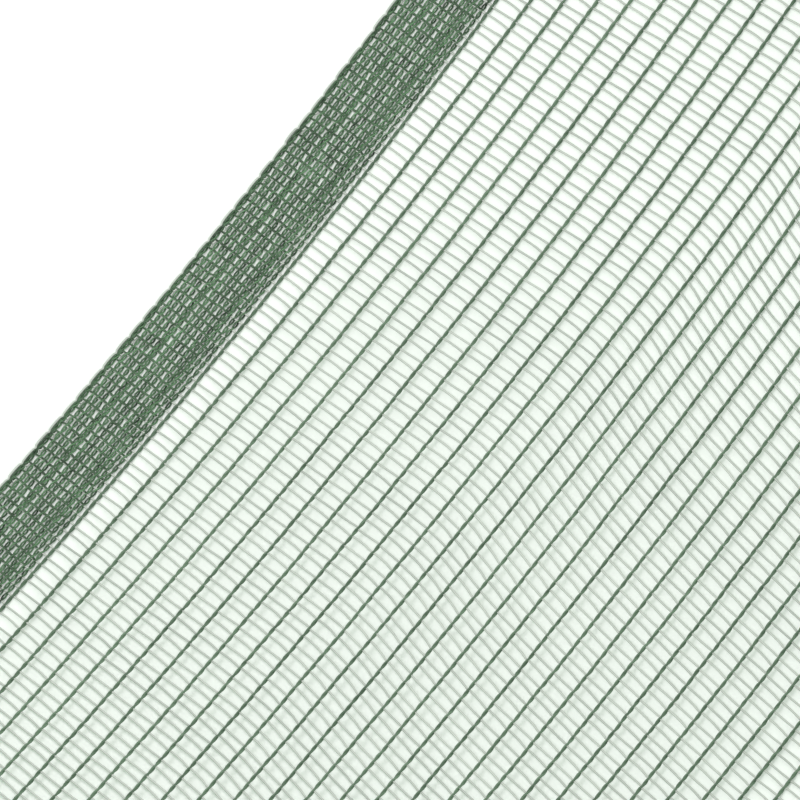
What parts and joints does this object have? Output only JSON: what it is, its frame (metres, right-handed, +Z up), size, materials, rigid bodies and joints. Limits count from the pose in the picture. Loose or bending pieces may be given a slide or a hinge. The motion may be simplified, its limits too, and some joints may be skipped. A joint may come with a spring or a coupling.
{
  "type": "hail net",
  "caption": "Cut length of green leno-woven hail net with open rectangular mesh and a dense woven-in selvedge, lying flat with one soft fold.",
  "frame": {"origin": "middle of the bounding box, on the surface that the net lies on", "axes": "+X across the net away from the selvedge, +Y along the warp cords, +Z up"},
  "size_m": [0.2566, 0.3784, 0.0064],
  "materials": {
    "green_yarn": "matte woven polyethylene yarn",
    "clear_filament": "translucent grey monofilament"
  },
  "bodies": {
    "root": {"hail_net": "green_yarn"}
  },
  "joints": []
}
